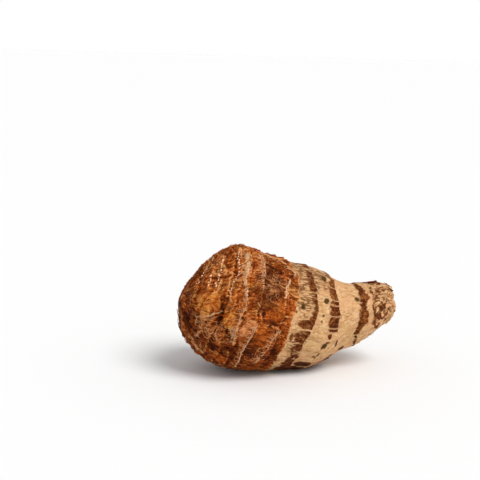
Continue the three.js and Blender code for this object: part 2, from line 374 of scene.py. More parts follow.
# The last band: (angle in degrees, width), and its middle as (angle in degrees, place along the axis)
BAND_D_WIDTHS = [
    (-180, 2.2), (-110, 3), (-50, 2), (10, 2.4), (22, 3.2), (42, 3.4), (59, 2.6), (79, 4.6), (95, 4.6),
    (104, 3), (124, 1.6),
]
BAND_D_MIDDLE = [
    (-180, 83), (20, 81.3), (42, 82.2), (60, 81.4), (80, 81.6), (95, 81), (104, 79.8), (124, 79.6),
    (180, 83),
]
# Angles of the thin pale gaps across one band
BAND_C_GAPS = [55, 61, 74.5, 88.5, 150, 172, -160, -138, -116, -90, -62, -38, -14, 12, 38]
BUDS = [
    (7.6, 72, 4, 5.4, 0.9), (10.4, 62, 2.8, 4, 1), (16.8, 90, 2.7, 4, 1.6), (27, -64, 3.4, 4.6, 0.9),
    (14, -128, 3.2, 4, 0.9), (39, 178, 3, 3.6, 0.8),
]
ORANGE_SPOTS = [
    (7.9, 69, 4.2, 6, 0.8), (14.2, 56, 1.6, 2.2, 0.5), (39.7, 73, 3.2, 4.6, 0.8), (12, 22, 4, 5, 0.45),
    (33.4, 84, 3.4, 3.6, 0.7), (31.4, 103, 2.6, 3.6, 0.8), (31.2, 131, 2.4, 2.2, 1),
    (15.6, 144, 2.6, 3, 0.9), (43.4, 72, 1.6, 5.6, 0.7), (41.6, 92, 2.4, 5, 0.5), (27, -64, 3.6, 4.6, 0.8),
    (14, -128, 3.2, 4, 0.8), (39, 178, 3.2, 3.8, 0.7), (33, -110, 4, 4.4, 0.5), (19, 14, 3, 3.4, 0.5),
    (28, 8, 2, 3.6, 0.7), (36.4, 14, 2.4, 3, 0.4), (21, -20, 4, 4, 0.5), (20.4, 61, 1.5, 4, 1),
    (16.4, 141, 3.6, 3, 1.4), (12.4, 139, 2.2, 2, 0.7), (15.6, 38, 2, 3.6, 0.6), (17.3, 21, 2.6, 3.4, 0.6),
    (27.1, 25, 1.5, 3, 0.5), (7.8, 125, 2.4, 3.2, 0.9), (5.2, 139, 1.8, 2.6, 0.8),
    (7.3, 152, 2.2, 2.8, 0.9), (28.4, 106, 2, 4, 0.8), (14, -96, 2.4, 4, 0.7), (30, -38, 2.4, 4, 0.7),
    (36, -140, 3, 4, 0.8), (12, 172, 2.4, 3.4, 0.8), (24, -100, 2.6, 4, 0.6), (42, -80, 2, 5, 0.6),
    (41, -20, 2, 4, 0.5), (8, -30, 2, 3, 0.6), (36.7, 83, 2, 3.2, 0.9), (30.6, 94, 1.8, 2.6, 0.8),
    (41, 60, 1.6, 3, 0.6),
]
ORANGE_LINES = [
    (0.9, 1, [(26.4, 43), (24.9, 49), (24.3, 55.5)]),
    (1, 0.9, [(19.8, 57), (18.2, 64), (16.6, 74)]),
    (0.8, 0.6, [(28, 60), (25, 78), (23.6, 88)]),
    (2, 1, [(31.4, 94), (29.4, 104), (28, 111)]),
    (1.4, 0.8, [(34.6, 98), (33, 107)]),
    (1.4, 0.9, [(29, 132), (26.6, 142)]),
    (1.2, 0.7, [(38, 100), (39.6, 92), (41.4, 84)]),
]
# Dark marks, also sunk into the relief: dark husk, with painted shade in the creases and round the shoot
# end
DARK_SPOTS = [
    (30.3, 81.5, 0.9, 1.2, 0.9), (37.1, 48, 0.9, 1, 0.7), (28.4, 45.5, 0.9, 1.3, 0.8),
    (38.4, 37.5, 1, 1.2, 0.6), (18.7, 38, 0.9, 2, 0.7), (22.6, 66, 1, 1.4, 0.5), (10, -60, 2.6, 3.6, 0.6),
    (31, -150, 3, 4, 0.6), (24, 160, 3, 5, 0.6), (40, -40, 2.4, 3.6, 0.5), (20, -90, 2, 4, 0.5),
    (55, 148, 4, 4, 0.6), (48, 152, 4, 3, 0.6), (53, -176, 4, 6, 0.5), (9.6, 122, 2, 1.6, 0.6),
    (5.6, 100, 1.2, 1.6, 0.4), (26.4, 26, 0.9, 1.6, 0.4), (30, 26, 0.8, 2, 0.5), (44, 47, 0.8, 1.4, 0.4),
    (6.2, 3, 3, 4.5, 0.55), (10.9, 9, 1.6, 2.4, 0.45), (2.6, 66, 1.6, 5, 0.6), (28, 62, 1, 2, 0.6),
    (37.2, 47, 1.3, 1.8, 0.7), (29.6, 80, 1.4, 2.2, 0.2), (39, 97, 1.2, 2, 0.3), (3.4, 60, 1.6, 5, 0.4),
    (37.1, 117, 1.6, 2.6, 0.5), (12, 93, 1.2, 2, 0.6), (35.5, 34, 2.6, 3.4, 0.4), (33, 70, 2.2, 3.2, 0.5),
    (33.5, 90, 1.6, 2, 0.35), (40.4, 80, 1.2, 2.2, 0.35),
]
# Dark lines, also sunk: dark husk, with painted shade in the creases
DARK_LINES = [
    (0.8, 1.2, [(13.7, 67), (12.8, 82), (12.3, 96)]),
    (1.6, 1, [(3.4, 84), (2.9, 119), (1.9, 139)]),
    (1.2, 0.9, [(11.5, 128), (16, 126.5), (19.6, 119)]),
    (1.3, 1, [(24.6, 121), (28.2, 115)]),
    (1.7, 0.7, [(35.4, 130), (38.2, 122), (38, 113)]),
    (1.3, 0.6, [(24.3, 62), (28.6, 67), (33.8, 66), (38.8, 63)]),
    (0.6, 0.8, [(14.9, 96), (16.2, 103), (18.2, 106)]),
    (0.6, 0.7, [(20.9, 112), (21, 124), (21.4, 138)]),
]
# Pale lines: pale dry husk along the ring edges and ridges, with a painted highlight on them
PALE_LINES = [
    (0.7, 0.5, [(24.3, 12), (24.6, 20)]),
    (1.5, 0.95, [(24.8, 20), (24.6, 31), (23.6, 38), (22.8, 44)]),
    (0.9, 0.9, [(23.2, 37), (22.3, 46), (22.1, 57)]),
    (0.45, 0.8, [(22.1, 57), (22.5, 70), (22.2, 77), (20.6, 87), (19.9, 96), (19.8, 112)]),
    (0.8, 0.7, [(19.2, 97), (18.8, 103), (18.5, 111)]),
    (0.7, 0.6, [(33, 8), (32.2, 22), (31.4, 34), (30.6, 44), (29.8, 52), (30, 59)]),
    (0.45, 0.9, [(27.2, 93), (26.1, 101), (24.4, 113), (23.7, 123), (24, 144)]),
    (0.45, 0.7, [(38.8, 94), (35.9, 103.5), (34.5, 113.5), (32.4, 124.5), (31.8, 132)]),
    (0.5, 1, [(34.7, 5), (38.2, 10), (42, 14), (44.1, 21), (45.9, 30), (46.6, 36)]),
    (0.5, 0.6, [(5.5, 147), (7.3, 155), (10.7, 152), (13, 147)]),
    (0.35, 0.8, [(8.5, 105), (11, 110)]),
    (0.35, 0.7, [(7.2, 109), (7, 127)]),
    (0.35, 0.9, [(5, 93), (8.7, 88), (11, 84), (13.2, 79)]),
    (0.8, 0.8, [(42.7, 44), (40.8, 55), (40.1, 63)]),
    (0.4, 0.6, [(29.4, 132), (28.4, 120)]),
    (0.4, 0.7, [(16.8, 62), (16.2, 68)]),
    (0.35, 0.6, [(25.6, 66), (30, 90), (36, 92), (40, 86)]),
    (1.2, 0.8, [(24, -12), (23, -46), (22.6, -76)]),
    (0.9, 0.6, [(31, -84), (31.6, -112)]),
    (0.8, 0.6, [(19, 146), (18.6, 170)]),
    (0.8, 0.6, [(37.6, -160), (38.2, 176)]),
]
ROSY_SPOTS = [
    (24, 95, 2.6, 4.6, 1.4), (22.8, 103, 2.4, 4.2, 1.3), (22.4, 109, 1.8, 3, 1.1),
    (29.5, 33, 1.6, 4.5, 0.6), (36.6, 100, 1.8, 2.4, 0.8), (35.1, 106, 1.6, 3.2, 1.3),
    (33.2, 116, 1, 3, 0.8), (31.9, 128, 1, 3, 0.9), (31, 22, 1.2, 4, 0.7), (21, -40, 2.4, 4, 0.6),
    (34, -70, 3, 4, 0.5), (22, 160, 3, 4, 0.5),
]
CALM_SPOTS = [
    (37, 84, 8, 13, 1), (31, 104, 5, 8, 0.8), (9, 68, 5, 7, 0.6), (40, 70, 5, 8, 0.8),
    (34, -100, 6, 9, 0.7),
]
HAIR_PATCHES = [
    (34.6, 52, 6.4, 8, 1), (34, -128, 6, 7, 0.9), (22, 176, 5, 6, 0.8),
]
# Zones of painted highlight along the ring crests, where the tone is lighter too
HIGHLIGHT_ZONES = [
    (13, 38, 9, 11, 1), (24, 14, 7, 6, 0.7), (10, 112, 9, 6, 0.5), (14, -70, 8, 12, 0.8),
    (20, -150, 8, 9, 0.6),
]
# Line zones: brown tint and wavy lines on the bare skin; the zone at 95 mm and 60 degrees paints shade on
# the stub rim's inner side
LINE_ZONES = [
    (51, 20, 9, 15, 1.2), (49.5, 54, 5, 8, 1.2), (60, 26, 5, 9, 0.8), (57, -40, 9, 14, 0.8),
    (52, -130, 8, 12, 0.6), (60, 150, 8, 8, 0.5), (47.5, 110, 4, 7, 0.9), (95, 60, 3.4, 14, 0.6),
    (87, 20, 3, 5, 0.4), (94, -90, 3, 12, 0.6),
]
SMALL_DOTS = [
    (45.4, 74, 0.6), (45.4, 48, 0.6), (59, 74.5, 0.7), (58.3, 81, 0.5), (63.3, 79, 0.5), (70.6, 38, 0.4),
    (86, -30, 0.6),
]
DOT_RADIUS = 1.5  # root scars
# Curled husk on the stub: its middle as place and angle, step between arcs, reach
STUB_EYE, STUB_EYE_ANGLE, STUB_ARC_STEP, STUB_ARC_REACH = 88.9, 80, 2.6, 5
STUB_FROM, STUB_FULL = 84, 88  # where the stub's rough skin starts and is complete
BAND_SPLIT = 60  # between the two bands that end at rings
UNDERSIDE_HUSK_AND_SHADE_END = 78  # brown husk, partly painted shade, covers the underside up to here
FAR = 99.0  # stands for a ring distance where there is no ring
RING_SIGHT = 12  # ring distances are cut off here
# Streak, blotch, broad, fleck, fray, wander and bend: feature lengths, seed and layers
MARK_NOISES = [
    ((7, 1, 1), 3, 3), (3.2, 11, 3), (9, 19, 2), (1.3, 23, 2), ((2.2, 0.8, 0.8), 29, 2), (2.6, 41, 2),
    (2.6, 43, 2),
]
WANDER = 0.7  # how far the listed marks stray from their places


def line_distance(along, angle, points):
    """Distance in millimetres over the skin from a line through points."""
    radius = radius_at(along)
    nearest = np.full_like(along, 1e6)
    for (from_, from_angle), (to, to_angle) in zip(points, points[1:]):
        ahead = along - from_
        aside = round_distance(along, angle, from_angle)
        length = to - from_
        width = math.radians((to_angle - from_angle + 180) % 360 - 180) * radius
        share = np.clip((ahead * length + aside * width) / (length**2 + width**2 + 1e-9), 0, 1)
        nearest = np.minimum(nearest, (ahead - share * length) ** 2 + (aside - share * width) ** 2)
    return np.sqrt(nearest)


def spots(along, angle, listed):
    total = np.zeros_like(along)
    for *where, strength in listed:
        total = np.maximum(total, strength * spot(along, angle, *where))
    return total


def strokes(along, angle, listed):
    total = np.zeros_like(along)
    for half_width, strength, points in listed:
        total = np.maximum(total, strength * bell(line_distance(along, angle, points) / half_width))
    return total


def ring_distances(along, places):
    """Distance on to the next bulb ring, and back to the ring before."""
    before = np.full_like(along, FAR)
    after = np.full_like(along, FAR)
    for place in places[: HUSK_EDGE + 1]:
        ahead = place - along
        before = np.where((ahead >= -1e-6) & (ahead < before), np.maximum(ahead, 0), before)
        passed = along - place
        after = np.where((passed >= LIP_DROP - 1e-6) & (passed < after), passed - LIP_DROP, after)
    return before, after


def stub_arcs(along, angle, blotch):
    """Curled ridges, from -1 to 1, round one place on the stub."""
    away = np.hypot(along - STUB_EYE, 0.8 * round_distance(along, angle, STUB_EYE_ANGLE))
    return np.sin(2 * math.pi * (away + 0.9 * blotch) / STUB_ARC_STEP) * bell(away / STUB_ARC_REACH)


def brown_bands(along, angle, places, streak, fleck, fray, ragged):
    """The bands that end at rings, broken up by gaps and worn places."""
    degrees = np.degrees(angle)
    bands = np.zeros_like(along)
    for number, widths in BAND_WIDTHS.items():
        width = np.interp(degrees, *np.array(widths).T, period=360)
        before = places[number] - along
        ahead = step(before + 0.3 * fleck + 0.4 * fray, -0.5, 0.45)
        band = ahead * step(width + 1.3 * ragged - before, -1.1, 1.3)
        bands = np.maximum(bands, band)
    upper = step(degrees, 66, 50) * step(degrees, -30, -10) * step(BAND_SPLIT - along, 0, 2)
    bands *= 1 - 0.8 * upper * step(streak + 0.5 * fleck, -0.05, 0.2)
    gaps = np.zeros_like(along)
    for gap in BAND_C_GAPS:
        place = gap + 1.2 * np.sin(along / 2)
        gaps = np.maximum(gaps, bell(round_distance(along, angle, place) / 0.3))
    bands *= 1 - 0.75 * gaps * step(along - BAND_SPLIT, -1, 1)
    worn = 0.25 + 0.5 * step(degrees, 88, 104) * step(BAND_SPLIT + 4 - along, 0, 3)
    return bands * (1 - worn * step(0.8 * streak + 0.6 * fleck + 0.5 * fray, 0.0, 0.45))


def marks(along, angle, places, grain):
    """Soft fields from 0 to 1 that the materials and the fine relief share."""
    streak, blotch, broad, fleck, fray, wander, bend = grain_noises(grain, MARK_NOISES)
    ragged = 1.0 * blotch + 1.0 * streak + 0.6 * fleck + 0.9 * fray
    degrees = np.degrees(angle)
    s = along + WANDER * wander
    a = angle + WANDER * bend / np.maximum(radius_at(along), 4)

    bulb = step(places[HUSK_EDGE] - along + 0.2 * fleck, -0.2, 0.3)
    bands = brown_bands(along, angle, places, streak, fleck, fray, ragged)
    width = np.interp(degrees, *np.array(BAND_D_WIDTHS).T, period=360)
    middle = np.interp(degrees, *np.array(BAND_D_MIDDLE).T)
    band_d = step(0.5 * width + 0.9 * ragged - np.abs(along - middle), -0.9, 0.9)
    placed = np.maximum(spots(s, a, HUSK_PATCHES), strokes(s, a, HUSK_LINES))
    patches = step(placed + 0.22 * ragged, 0.3, 0.75)
    # Brown husk on the underside: partly husk, partly painted shade under the corm
    underside_husk_and_shade = step(np.abs(degrees), 128, 158) * step(blotch + 0.5 * streak, -0.2, 0.3)
    underside_husk_and_shade *= step(UNDERSIDE_HUSK_AND_SHADE_END - along, 0, 8)
    rough = step(blotch + 0.6 * streak + 0.6 * fleck, 0.02, 0.4)
    stub = 0.8 * step(along, STUB_FROM, STUB_FULL) * rough
    curls = step(0.2 * fleck - stub_arcs(along, angle, blotch), 0.25, 0.8)
    stub = np.maximum(stub, 0.85 * step(along, STUB_FROM, STUB_FROM + 2) * curls)
    face = step(END - along + 0.4 * fleck, 1.5, 0.7) * step(blotch + streak, -0.5, 0.1)
    husk = np.maximum.reduce([bulb, bands, band_d, patches, underside_husk_and_shade, stub, 0.85 * face])

    scars = np.zeros_like(along)
    rims = np.zeros_like(along)
    dots = [(place, at, DOT_RADIUS) for place, at in ROOT_SCARS] + SMALL_DOTS
    for place, at, size in dots:
        away = np.hypot(along - place, round_distance(along, angle, at)) + 0.3 * size * (blotch + fleck)
        scars = np.maximum(scars, 1 - step(away, 0.6 * size, 1.15 * size))
        rims = np.maximum(rims, bell((away - 1.7 * size) / 0.5))
    before, after = ring_distances(along, places)
    # painted shade: the lower flanks a little darker
    low = step(degrees, 95, 130) + step(degrees, -95, -130)
    # painted shade on the bulb's underside
    painted_under_shade = 0.5 * step(np.abs(degrees), 100, 150) * bulb * step(broad, 0.1, 0.5)
    # painted shade round the shoot tip, where the corm narrows
    painted_tip_shade = 0.8 * step(radius_at(along), 3.4, 1.6) * bulb
    # painted highlight in zones along the ring crests
    painted_highlight = spots(along, angle, HIGHLIGHT_ZONES)
    return {
        "husk": husk,
        "bulb": bulb,
        # tone: broad and blotchy changes, lighter with the painted highlight, darker with painted shade on
        # the lower flanks
        "tone": 0.24 * broad + 0.12 * blotch + 0.10 * painted_highlight - 0.12 * low,
        "orange": np.maximum(spots(s, a, ORANGE_SPOTS), strokes(s, a, ORANGE_LINES)),
        "bud": step(spots(s, a, BUDS) + 0.25 * blotch + 0.12 * fleck, 0.2, 0.9),
        # dark husk, with painted shade in the sunk dark marks, under the bulb and round the shoot tip
        "dark_and_shade": np.maximum.reduce([
            painted_under_shade, spots(s, a, DARK_SPOTS), strokes(s, a, DARK_LINES), painted_tip_shade,
        ]),
        # pale husk lines and root scar rims, with painted highlight along the ring edges
        "pale": np.maximum(strokes(s, a, PALE_LINES), 0.3 * rims * (1 - scars)),
        "rosy": step(spots(s, a, ROSY_SPOTS) + 0.3 * blotch + 0.2 * fleck, 0.2, 0.8),
        "calm": spots(along, angle, CALM_SPOTS),
        # painted highlight along the ring crests, faint everywhere
        "painted_highlight": np.maximum(painted_highlight, 0.25),
        "lines": spots(along, angle, LINE_ZONES) * step(along - places[HUSK_EDGE], 0, 1),
        "hairy": step(spots(along, angle, HAIR_PATCHES) + 0.15 * blotch, 0.3, 0.7),
        "scar": scars,
        "band": 1 - bulb,
        "before": np.minimum(before, RING_SIGHT),
        "after": np.minimum(after, RING_SIGHT),
        "streak": streak,
        "blotch": blotch,
    }


# How the fibres curl and wrinkle: feature lengths in millimetres, seed and layers
CURLING = [(4, 91, 2), (4, 93, 2), (4, 97, 2)]
CURL = 1.6
WRINKLES = ((0.9, 3.5, 3.5), 67, 2)


def fine_relief(along, angle, grain, mark):
    """Relief that only the fine mesh holds: fibres, scales, wrinkles and the husk's thickness."""
    curly = grain + CURL * np.stack(grain_noises(grain, CURLING), axis=-1)
    fibre = ridged_noise(curly, (6, 1.3, 1.3), 61)
    scales = ridged_noise(curly, (2.6, 2, 2), 71)
    lumpy = ridged_noise(grain, 2.4, 83)
    wrinkle, = grain_noises(grain, [WRINKLES])
    pebble = lattice_noise(grain / 0.9, 79)
    bulb = mark["bulb"]
    husky = 0.26 * mark["streak"] + 0.28 * fibre + 0.08 * wrinkle + 0.20 * scales + 0.10 * pebble - 0.25
    height = bulb * (1 - 0.5 * mark["calm"]) * husky
    height += (1 - bulb) * (0.08 * fibre + 0.06 * wrinkle + 0.04 * pebble)
    height += 0.2 * (1 - bulb) * mark["husk"] * (1 - mark["scar"])
    height -= bulb * (0.7 * mark["dark_and_shade"] + 0.2 * bell(mark["after"] / 0.6))
    tip_rings = np.sin(2 * math.pi * (radius_at(along) + 0.5 * mark["blotch"]) / TIP_RING_STEP)
    height += 0.25 * tip_rings * step(along, 4.5, 1.0)
    height += 0.3 * mark["pale"] * bulb
    height += bulb * 0.2 * fibre * np.exp(-mark["before"] / 1.6)
    height += 0.2 * mark["orange"] * bulb * pebble
    height += 0.5 * mark["bud"] * bulb * (lumpy - 0.3)
    stub = step(along, STUB_FROM, STUB_FULL) * step(END - along, 0, 2)
    curls = stub_arcs(along, angle, mark["blotch"])
    height += stub * (0.35 * curls + 0.3 * scales + 0.15 * wrinkle - 0.15)
    return height * step(along, 0, 1.5)


def skin_height(along, angle):
    places = torn_rings_at(angle)
    radius = radius_at(along)
    grain = np.stack([along, radius * np.cos(angle), radius * np.sin(angle)], axis=-1)
    mark = marks(along, angle, places, grain)
    point = smooth_points(along, angle)
    clear = step(point[..., 2], 0.4, 3.2)
    height = main_relief(along, angle, places) + end_relief(along, angle)
    height += fine_relief(along, angle, grain, mark)
    point = point + (height * clear)[..., None] * outward_at(along, angle)
    point[..., 2] = np.maximum(point[..., 2], 0)
    return point, mark, grain


def new_object(name, data):
    made = bpy.data.objects.new(name, data)
    bpy.context.scene.collection.objects.link(made)
    return made


def new_piece(name, points, faces):
    mesh = bpy.data.meshes.new(name)
    mesh.from_pydata((points * MM).tolist(), [], faces)
    mesh.polygons.foreach_set("use_smooth", [True] * len(mesh.polygons))
    mesh.update()
    return new_object(name, mesh)


def add_field(piece, name, values, kind="FLOAT", key="value"):
    field = piece.data.attributes.new(name, kind, "POINT")
    field.data.foreach_set(key, values.astype(np.float32).ravel())


SKIN_FIELDS = [
    "husk", "bulb", "tone", "orange", "bud", "dark_and_shade", "pale", "rosy", "calm", "painted_highlight", "lines", "hairy",
    "scar", "band", "before", "after",
]


def make_skin():
    along, angle, _places = skin_lattice()
    point, mark, grain = skin_height(along, angle)
    rows, columns = along.shape
    poles = np.array([point[0].mean(axis=0), point[-1].mean(axis=0)])
    points = np.concatenate([point.reshape(-1, 3), poles])
    row = np.arange(rows - 1)[:, None] * columns
    here = row + np.arange(columns)
    right = row + (np.arange(columns) + 1) % columns
    faces = np.stack([here, right, right + columns, here + columns], axis=-1).reshape(-1, 4).tolist()
    shoot, stub = rows * columns, rows * columns + 1
    last = (rows - 1) * columns
    for column in range(columns):
        following = (column + 1) % columns
        faces.append((shoot, following, column))
        faces.append((stub, last + column, last + following))
    piece = new_piece("corm_skin", points, faces)
    for name in SKIN_FIELDS:
        values = mark[name].ravel()
        add_field(piece, name, np.concatenate([values, values[:1], values[-1:]]))
    flat = grain.reshape(-1, 3)
    add_field(piece, "grain", np.concatenate([flat, flat[:1], flat[-1:]]), "FLOAT_VECTOR", "vector")
    return piece


# Husk shreds, hairs and beads

SHRED_COUNT, SHRED_LENGTH, SHRED_WIDTH, SHRED_HEIGHT = 46, 5.5, 1.6, 0.75
SHRED_LIFT = 0.7
SHRED_RINGS = [2, 3, 5, 6, 7, 8, 8, 4, 5, 8, 1, 7]
GOLDEN_ANGLE = math.pi * (3 - math.sqrt(5))
# Place along the axis, angle in degrees, length, width, lift
LONE_SHREDS = [
    (4.4, 150, 3.4, 1.6, 1.2), (92.5, -12, 9, 3.4, 0.8), (97.6, 4, 3, 1.2, 0.6), (98.4, 24, 2.6, 1.2, 0.4),
    (98, -40, 2.8, 1.2, 1.2), (97.2, 128, 2.4, 1, 0.8),
]
SMALL_SHREDS = 340  # tried, fewer are kept
HUSK_HAIRS, MATTED_HAIRS, LINE_HAIRS, NET_HAIRS, STUB_HAIRS = 760, 80, 7, 60, 70
HAIRY_LINES = 12  # so many of the first pale lines carry fibres
BLADE_STEPS, HAIR_STEPS = 7, 8
LOW = 6.0  # the long shreds stay off the skin below this height
HAIRLESS = 3.2  # hairs stay off this much of the shoot end


def strands(name, along, angle, lift, width, height, shade):
    """One mesh of three-sided strands; every argument is shaped (strands, steps), shade (strands)."""
    point, _mark, _grain = skin_height(along, angle)
    outward = outward_at(along, angle)
    point = point + lift[..., None] * outward
    forward = np.gradient(point, axis=1)
    aside = np.cross(forward, outward)
    aside /= np.maximum(np.linalg.norm(aside, axis=-1, keepdims=True), 1e-6)
    half = 0.5 * width[..., None]
    low = -0.5 * height[..., None] * outward
    corners = np.stack([point + half * aside + low, point - half * aside + low, point - low], axis=2)
    corners[..., 2] = np.maximum(corners[..., 2], 0.02)
    count, steps = along.shape
    start = np.arange(count)[:, None] * steps * 3 + np.arange(steps - 1)[None] * 3
    faces = []
    for side in range(3):
        other = (side + 1) % 3
        quad = [start + side, start + side + 3, start + other + 3, start + other]
        faces.append(np.stack(quad, axis=-1).reshape(-1, 4))
    faces = np.concatenate(faces).tolist()
    first = np.arange(count) * steps * 3
    faces += [(a, a + 1, a + 2) for a in first.tolist()]
    faces += [(a + 2, a + 1, a) for a in (first + (steps - 1) * 3).tolist()]
    piece = new_piece(name, corners.reshape(-1, 3), faces)
    add_field(piece, "shade", np.repeat(shade, steps * 3))
    return piece


def shred_list():
    """Base along the axis, base angle, length, width, height and lift of every shred."""
    shreds = []
    for number in range(SHRED_COUNT):
        angle = (number * GOLDEN_ANGLE + 0.4) % (2 * math.pi) - math.pi
        place = rings_at(np.array(angle))[SHRED_RINGS[number % len(SHRED_RINGS)]] - 0.3
        if smooth_points(np.array(place), np.array(angle))[2] < LOW:
            continue
        vary = math.sin(2.4 * number)
        size = (SHRED_LENGTH * (1 + 0.35 * vary), SHRED_WIDTH * (1 - 0.2 * vary))
        shreds.append((float(place), angle, *size, SHRED_HEIGHT, SHRED_LIFT))
    for place, degrees, length, width, lift in LONE_SHREDS:
        shreds.append((place, math.radians(degrees), length, width, SHRED_HEIGHT, lift))
    return shreds


def make_shreds(random):
    shreds = shred_list()
    for _number in range(SMALL_SHREDS):
        angle = random.uniform(-math.pi, math.pi)
        ring = random.integers(0, HUSK_EDGE + 1)
        place = float(torn_rings_at(np.array(angle))[ring]) - random.uniform(0, 0.5)
        low = smooth_points(np.array(place), np.array(angle))[2] < LOW / 2
        if low or place < HAIRLESS + 1:
            continue
        length = random.uniform(1.0, 3.0)
        shreds.append((place, angle, length, random.uniform(0.35, 0.9), 0.35, random.uniform(0.1, 0.5)))
    base, angle, length, width, height, lift = (column[:, None] for column in np.array(shreds).T)
    share = np.linspace(0, 1, BLADE_STEPS)[None]
    along = np.maximum(base - length * share, 0.6)
    twist = random.uniform(-0.5, 0.5, (len(shreds), 1)) * length / np.maximum(radius_at(base), 5)
    round_ = angle + twist * share * share
    slim = (1 - share) ** 0.7 * 0.9 + 0.1
    rise = lift * share**2 + 0.12
    shade = 0.8 * random.uniform(0.0, 1.0, len(shreds)) ** 1.4
    return strands("husk_shreds", along, round_, rise, width * slim, height * slim * 0.8, shade)


def hair_paths(along, angle, heading, length, turn):
    """Walks each hair over the skin; heading 0 points at the shoot end."""
    steps = np.arange(HAIR_STEPS)[None] / (HAIR_STEPS - 1)
    course = heading[:, None] + turn[:, None] * steps
    stride = length[:, None] / (HAIR_STEPS - 1)
    ahead = np.cumsum(np.cos(course) * stride, axis=1)
    aside = np.cumsum(np.sin(course) * stride, axis=1)
    place = np.clip(along[:, None] - ahead, 0.6, END - 0.6)
    return place, angle[:, None] + aside / np.maximum(radius_at(along)[:, None], 4)


def make_hairs(random):
    groups = []

    def group(count, *values):
        """Place, angle, heading, length, turn, width and shade of so many hairs."""
        groups.append([np.broadcast_to(value, (count,)) for value in values])

    def between(low, high):
        return random.uniform(low, high, count)

    def around(mean, spread):
        return random.normal(mean, spread, count)

    # over the husk, lengthwise and crossing
    count = HUSK_HAIRS
    group(
        count, between(3, 45), between(-math.pi, math.pi), around(0, 0.5),
        between(2.5, 7), around(0, 1.2), between(0.1, 0.22), between(0, 0.85) ** 1.3,
    )
    # curly grey hair where it has matted
    count = MATTED_HAIRS
    for place, degrees, half_length, half_width, _strength in HAIR_PATCHES:
        group(
            count, place + half_length * around(0, 0.65),
            math.radians(degrees) + half_width / radius_at(place) * around(0, 0.6),
            between(-math.pi, math.pi), between(2.5, 6), random.choice([-1, 1], count) * between(2, 5),
            between(0.12, 0.24), between(0.25, 0.95),
        )
    # pale fibres on the pale lines
    for half_width, _strength, points in PALE_LINES[:HAIRY_LINES]:
        count = LINE_HAIRS * (len(points) - 1)
        share = between(0, len(points) - 1.001)
        place, degrees = (np.interp(share, np.arange(len(points)), column) for column in zip(*points))
        group(
            count, place + half_width * around(0, 0.5), np.radians(degrees), around(0, 0.8),
            between(1.2, 3.2), around(0, 1.5), between(0.14, 0.26), between(0.85, 1),
        )
    # a net of pale hairs below the first bud
    count = NET_HAIRS
    group(
        count, between(4, 15), np.radians(between(88, 116)), between(-math.pi, math.pi),
        between(2, 5), around(0, 2.0), between(0.12, 0.22), between(0.6, 1),
    )
    # short fibres on the stub
    count = STUB_HAIRS
    group(
        count, between(86, 98), between(-math.pi, math.pi), around(math.pi, 1.2),
        between(1, 3), around(0, 1.5), between(0.1, 0.2), between(0.3, 1),
    )
    place, angle, heading, length, turn, width, shade = (np.concatenate(column) for column in zip(*groups))
    along, round_ = hair_paths(place, angle, heading, length, turn)
    clear = (along.min(axis=1) > HAIRLESS) & (smooth_points(place, angle)[..., 2] > LOW / 3)
    along, round_, width, shade = along[clear], round_[clear], width[clear], shade[clear]
    share = np.linspace(0, 1, HAIR_STEPS)[None]
    loft = random.uniform(0.02, 0.25, (len(along), 1))
    lift = 0.08 + loft * np.sin(math.pi * share) + 0.5 * loft * share**3
    thick = width[:, None] * (1 - 0.6 * share)
    return strands("husk_hairs", along, round_, lift, thick, thick * 0.9, shade)


# Long pale edges of torn husk, pale dry husk with a painted highlight along them: width and points
RIMS = [
    (0.85, [(33, 2), (34.7, 5), (38.4, 10), (42.2, 14.5), (44.1, 21), (46, 29), (47.4, 35), (47.6, 42)]),
    (0.35, [(23, 40), (22.1, 57), (22.5, 70), (22.2, 77), (20.6, 87), (19.9, 96), (19.6, 113)]),
    (0.28, [(27.4, 90), (26.1, 101), (24.4, 113), (23.7, 123), (24, 146)]),
    (0.28, [(38.8, 94), (35.9, 103.5), (34.5, 113.5), (32.4, 124.5), (31.6, 136)]),
    (0.3, [(15, -14), (10.9, 0), (8.5, 6), (6.9, 16)]),
    (0.2, [(5, 93), (8.7, 88), (11, 84), (13.2, 79)]),
    (0.3, [(12.2, 98), (13, 104), (16, 106), (18.4, 104)]),
    (0.5, [(2, 168), (3, 150), (5.5, 146), (8.4, 153), (13, 147)]),
    (0.4, [(36, -60), (39.5, -80), (38.8, -104)]),
    (0.4, [(24, -20), (22.8, -50), (22.6, -84)]),
    (0.35, [(30, 176), (29.4, -160), (30.4, -134)]),
    (0.5, [(41.4, -52), (41, -70), (39.6, -92), (38.4, -118), (38.8, -140)]),
    (0.35, [(16.4, -58), (15.4, -84), (15.6, -112)]),
    (0.3, [(33, -26), (32, -58), (31.2, -90)]),
]
RIM_STEPS, RIM_LIFT = 60, 0.18


def make_rims(random):
    along, angle, width = [], [], []
    # pale strands along the bead rows: painted highlight on the torn husk edges
    highlight_crests = [(0.4 * strength, points) for strength, points in BEAD_ROWS]
    for wide, points in RIMS + highlight_crests:
        points = np.array(points, dtype=float)
        degrees = np.degrees(np.unwrap(np.radians(points[:, 1])))
        share = np.linspace(0, len(points) - 1, RIM_STEPS)
        stops = np.arange(len(points))
        wobble = np.cumsum(random.normal(0, 0.02 / wide, RIM_STEPS))
        along.append(np.interp(share, stops, points[:, 0]) + wobble - np.linspace(0, wobble[-1], RIM_STEPS))
        angle.append(np.radians(np.interp(share, stops, degrees)))
        width.append(wide * (0.45 + 0.55 * np.abs(np.sin(share * 2.3 + 0.6))))
    along, angle, width = np.array(along), np.array(angle), np.array(width)
    shade = np.concatenate([random.uniform(0.68, 0.92, len(RIMS)), random.uniform(0.6, 0.8, len(highlight_crests))])
    return strands("husk_rims", along, angle, np.full_like(along, RIM_LIFT), width, 0.6 * width, shade)


